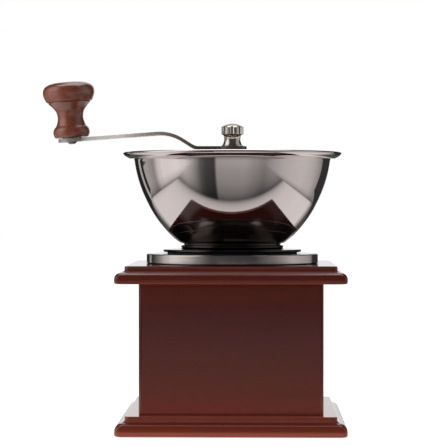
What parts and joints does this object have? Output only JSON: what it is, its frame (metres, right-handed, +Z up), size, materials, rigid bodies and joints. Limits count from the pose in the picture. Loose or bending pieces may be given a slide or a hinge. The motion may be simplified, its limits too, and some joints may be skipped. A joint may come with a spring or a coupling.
{
  "type": "burr coffee grinder",
  "caption": "Hand-cranked box coffee mill: moulded wooden case with a drawer, open steel hopper bowl, conical burrs, and an S-bent crank with a turned wooden knob.",
  "frame": {"origin": "centre of the felt's underside, on the crank shaft's axis", "axes": "+Z up along the shaft, +Y the way the drawer opens, -X the way the crank points at rest"},
  "size_m": [0.1764, 0.133, 0.202],
  "materials": {
    "case_wood": "dark stain under satin-gloss lacquer",
    "knob_wood": "walnut-brown stain, satin lacquer",
    "plain_wood": "bare, sanded",
    "felt": "pressed felt",
    "plated_screw": "zinc plated",
    "satin_steel": "satin",
    "dark_steel": "dark polished",
    "polished_steel": "mirror polished",
    "nickel": "nickel plated",
    "cast_metal": "die cast",
    "burr_ceramic": "unglazed",
    "bush_brass": "turned",
    "spring_steel": "bright wire",
    "nut_plastic": "black",
    "gasket_rubber": "matte"
  },
  "bodies": {
    "case": {"base_felt": "felt", "base_plate": "case_wood", "base_screws": "plated_screw", "rear_panel": "case_wood", "left_panel": "case_wood", "right_panel": "case_wood", "front_rail": "case_wood", "top_plate": "case_wood", "top_dowels": "plain_wood", "burr_housing": "cast_metal", "housing_screws": "plated_screw", "outer_burr": "burr_ceramic", "burr_retainer": "satin_steel", "lower_bush": "bush_brass", "collar_ring": "satin_steel", "hopper_gasket": "gasket_rubber", "hopper_foot": "dark_steel", "hopper_bowl": "polished_steel", "hopper_screws": "plated_screw", "shaft_bridge": "satin_steel", "bridge_screws": "plated_screw", "upper_bush": "bush_brass"},
    "rotor": {"drive_shaft": "satin_steel", "thrust_collar": "satin_steel", "crank_arm": "satin_steel", "arm_washer": "nickel", "cap_nut": "nickel", "knob_axle": "satin_steel", "knob_washer": "bush_brass", "burr_spring": "spring_steel"},
    "burr": {"inner_burr": "burr_ceramic"},
    "adjuster": {"adjusting_nut": "nut_plastic"},
    "knob": {"crank_knob": "knob_wood"},
    "drawer": {"drawer_front": "case_wood", "drawer_left_side": "plain_wood", "drawer_right_side": "plain_wood", "drawer_back": "plain_wood", "drawer_bottom": "plain_wood", "drawer_knob": "knob_wood", "drawer_knob_screw": "plated_screw"}
  },
  "joints": [
    {"name": "crank_spin", "type": "hinge", "parent": "case", "child": "rotor", "pos_m": [0, 0, 0.163], "axis": [0, 0, 1], "continuous": true},
    {"name": "knob_spin", "type": "hinge", "parent": "rotor", "child": "knob", "pos_m": [-0.0942, 0, 0.16874], "axis": [-0.0732, 0, 0.9973], "continuous": true},
    {"name": "burr_gap", "type": "slide", "parent": "rotor", "child": "burr", "axis": [0, 0, 1], "range_m": [-0.0008, 0.0004], "deforming": ["burr_spring"]},
    {"name": "adjuster_turn", "type": "hinge", "parent": "burr", "child": "adjuster", "pos_m": [0, 0, 0.061], "axis": [0, 0, 1], "range_deg": [-370, 190]},
    {"name": "drawer_slide", "type": "slide", "parent": "case", "child": "drawer", "axis": [0, 1, 0], "range_m": [0, 0.085]}
  ],
  "couplings": [
    {"joint": "adjuster_turn", "follows": "burr_gap", "rad_per_m": 7854}
  ]
}
